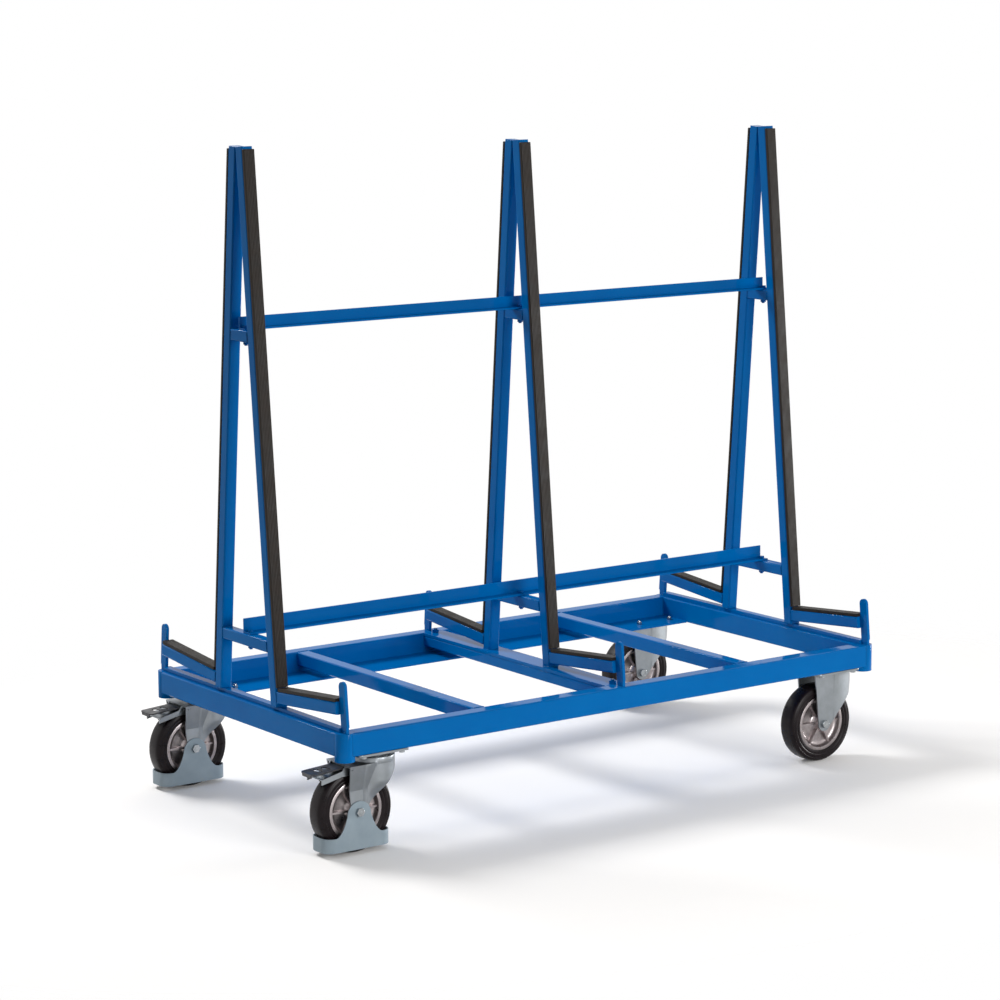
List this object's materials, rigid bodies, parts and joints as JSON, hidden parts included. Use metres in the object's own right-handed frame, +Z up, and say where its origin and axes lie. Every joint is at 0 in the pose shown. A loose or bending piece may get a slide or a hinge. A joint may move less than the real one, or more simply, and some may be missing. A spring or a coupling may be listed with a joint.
{
  "type": "panel cart",
  "caption": "Low blue steel cart with padded A-frames that hold upright panels on both sides, on braked swivel casters and fixed casters.",
  "frame": {"origin": "on the floor under the middle of the whole outline, pedals included", "axes": "+X along the cart from the swivel casters to the fixed casters, +Y across it to the rear side, +Z up"},
  "size_m": [1.6898, 0.8698, 1.612],
  "materials": {
    "blue_paint": "satin powder coat",
    "black_rubber": "matte",
    "wheel_tyre": "satin solid rubber",
    "wheel_rim": "die-cast",
    "zinc_steel": "zinc-plated",
    "guard_paint": "satin",
    "pedal_steel": "dark stamped steel"
  },
  "bodies": {
    "base": {"caster_bolts": "zinc_steel", "corner_tubes": "blue_paint", "frame_bolts": "zinc_steel", "front_beam": "blue_paint", "front_fixed_axle": "zinc_steel", "front_fixed_bracket": "zinc_steel", "front_swivel_plate": "zinc_steel", "ledge_strips": "blue_paint", "left_arms": "blue_paint", "left_base_bar": "blue_paint", "left_cross_beam": "blue_paint", "left_end_beam": "blue_paint", "left_end_stops": "blue_paint", "left_front_post": "blue_paint", "left_pads": "black_rubber", "left_rear_post": "blue_paint", "left_ties": "blue_paint", "lower_rail": "blue_paint", "middle_arms": "blue_paint", "middle_base_bar": "blue_paint", "middle_cross_beam": "blue_paint", "middle_end_stops": "blue_paint", "middle_front_post": "blue_paint", "middle_pads": "black_rubber", "middle_rear_post": "blue_paint", "middle_ties": "blue_paint", "rear_beam": "blue_paint", "rear_fixed_axle": "zinc_steel", "rear_fixed_bracket": "zinc_steel", "rear_swivel_plate": "zinc_steel", "right_arms": "blue_paint", "right_base_bar": "blue_paint", "right_cross_beam": "blue_paint", "right_end_beam": "blue_paint", "right_end_stops": "blue_paint", "right_front_post": "blue_paint", "right_pads": "black_rubber", "right_rear_post": "blue_paint", "right_ties": "blue_paint", "upper_rail": "blue_paint"},
    "front_swivel_head": {"front_swivel_fork": "zinc_steel", "front_swivel_axle": "zinc_steel", "front_swivel_guard": "guard_paint"},
    "front_swivel_wheel": {"front_swivel_rim": "wheel_rim", "front_swivel_tyre": "wheel_tyre"},
    "front_brake_pedal": {"front_swivel_pedal": "pedal_steel"},
    "front_brake_shoe": {"front_swivel_shoe": "black_rubber"},
    "front_fixed_wheel": {"front_fixed_rim": "wheel_rim", "front_fixed_tyre": "wheel_tyre"},
    "rear_swivel_head": {"rear_swivel_fork": "zinc_steel", "rear_swivel_axle": "zinc_steel", "rear_swivel_guard": "guard_paint"},
    "rear_swivel_wheel": {"rear_swivel_rim": "wheel_rim", "rear_swivel_tyre": "wheel_tyre"},
    "rear_brake_pedal": {"rear_swivel_pedal": "pedal_steel"},
    "rear_brake_shoe": {"rear_swivel_shoe": "black_rubber"},
    "rear_fixed_wheel": {"rear_fixed_rim": "wheel_rim", "rear_fixed_tyre": "wheel_tyre"}
  },
  "joints": [
    {"name": "front_swivel", "type": "hinge", "parent": "base", "child": "front_swivel_head", "pos_m": [-0.66506, -0.378, 0.2], "axis": [0, 0, 1], "continuous": true},
    {"name": "front_swivel_roll", "type": "hinge", "parent": "front_swivel_head", "child": "front_swivel_wheel", "pos_m": [-0.72706, -0.378, 0.1], "axis": [0, 1, 0], "continuous": true},
    {"name": "front_pedal_press", "type": "hinge", "parent": "front_swivel_head", "child": "front_brake_pedal", "pos_m": [-0.75106, -0.378, 0.206], "axis": [0, -1, 0], "range_deg": [0, 8]},
    {"name": "front_shoe_travel", "type": "slide", "parent": "front_swivel_head", "child": "front_brake_shoe", "axis": [0.6, 0, -0.8], "range_m": [0, 0.0022]},
    {"name": "front_fixed_roll", "type": "hinge", "parent": "base", "child": "front_fixed_wheel", "pos_m": [0.68994, -0.378, 0.1], "axis": [0, 1, 0], "continuous": true},
    {"name": "rear_swivel", "type": "hinge", "parent": "base", "child": "rear_swivel_head", "pos_m": [-0.66506, 0.378, 0.2], "axis": [0, 0, 1], "continuous": true},
    {"name": "rear_swivel_roll", "type": "hinge", "parent": "rear_swivel_head", "child": "rear_swivel_wheel", "pos_m": [-0.72706, 0.378, 0.1], "axis": [0, 1, 0], "continuous": true},
    {"name": "rear_pedal_press", "type": "hinge", "parent": "rear_swivel_head", "child": "rear_brake_pedal", "pos_m": [-0.75106, 0.378, 0.206], "axis": [0, -1, 0], "range_deg": [0, 8]},
    {"name": "rear_shoe_travel", "type": "slide", "parent": "rear_swivel_head", "child": "rear_brake_shoe", "axis": [0.6, 0, -0.8], "range_m": [0, 0.0022]},
    {"name": "rear_fixed_roll", "type": "hinge", "parent": "base", "child": "rear_fixed_wheel", "pos_m": [0.68994, 0.378, 0.1], "axis": [0, 1, 0], "continuous": true}
  ],
  "couplings": [
    {"joint": "front_shoe_travel", "follows": "front_pedal_press", "m_per_rad": 0.0157},
    {"joint": "rear_shoe_travel", "follows": "rear_pedal_press", "m_per_rad": 0.0157}
  ]
}
